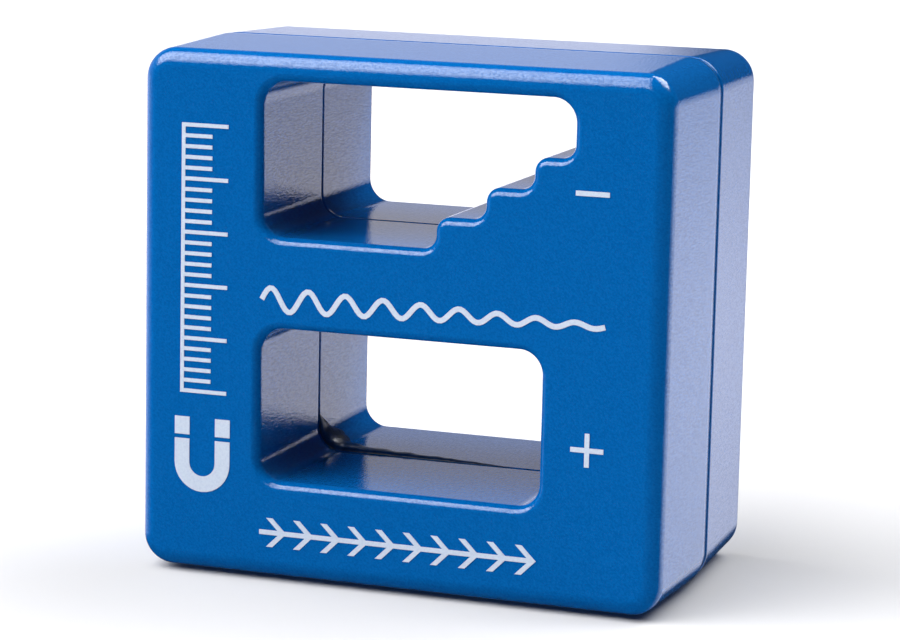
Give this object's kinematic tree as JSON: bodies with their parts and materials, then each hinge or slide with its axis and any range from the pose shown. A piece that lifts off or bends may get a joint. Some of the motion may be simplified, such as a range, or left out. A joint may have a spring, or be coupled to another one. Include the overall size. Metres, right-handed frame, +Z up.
{
  "type": "block demagnetizer",
  "caption": "Two-shell plastic block with a plain window that magnetizes a hand tool and a stepped window that demagnetizes it.",
  "frame": {"origin": "bottom centre of the block's bounding box", "axes": "+X to the right and +Z up as the printed front is read, +Y from the printed front to the plain rear"},
  "size_m": [0.052, 0.0291, 0.05],
  "materials": {
    "blue_plastic": "semi-gloss injection moulded ABS with a very fine texture",
    "ferrite": "dull ground ferrite",
    "cement": "glossy dried solvent cement",
    "white_ink": "satin pad-printed ink film"
  },
  "bodies": {
    "root": {"front_shell": "blue_plastic", "rear_shell": "blue_plastic", "left_magnet": "ferrite", "right_magnet": "ferrite", "cement_bead": "cement", "minus_mark": "white_ink", "plus_mark": "white_ink", "fading_wave_mark": "white_ink", "arrow_row_mark": "white_ink", "scale_mark": "white_ink", "horseshoe_mark": "white_ink", "left_pole_mark": "white_ink", "right_pole_mark": "white_ink"}
  },
  "joints": []
}
